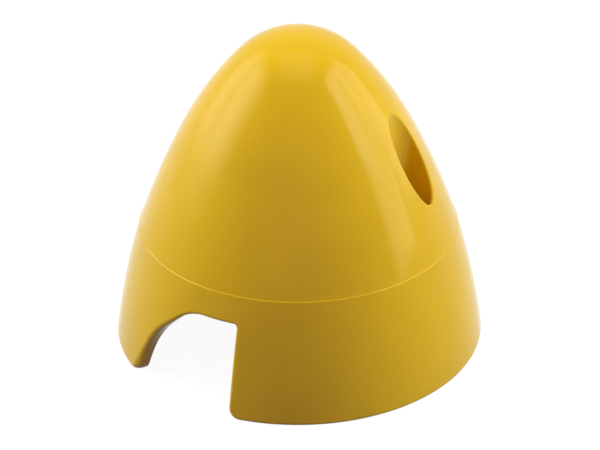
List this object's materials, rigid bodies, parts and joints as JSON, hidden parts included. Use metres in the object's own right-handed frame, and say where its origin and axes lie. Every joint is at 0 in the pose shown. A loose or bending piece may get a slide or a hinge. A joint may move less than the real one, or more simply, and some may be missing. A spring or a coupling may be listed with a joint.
{
  "type": "propeller spinner",
  "caption": "Pointed moulded plastic cone that covers a model propeller's hub, with openings for the blades and deep wells for its screws.",
  "frame": {"origin": "centre of the open base, in the plane of its rim", "axes": "+Z along the shaft towards the nose, +X through the first screw"},
  "size_m": [0.0568, 0.0568, 0.0503],
  "materials": {
    "yellow_nylon": "semi-gloss moulded nylon"
  },
  "bodies": {
    "root": {"spinner_cone": "yellow_nylon"}
  },
  "joints": []
}
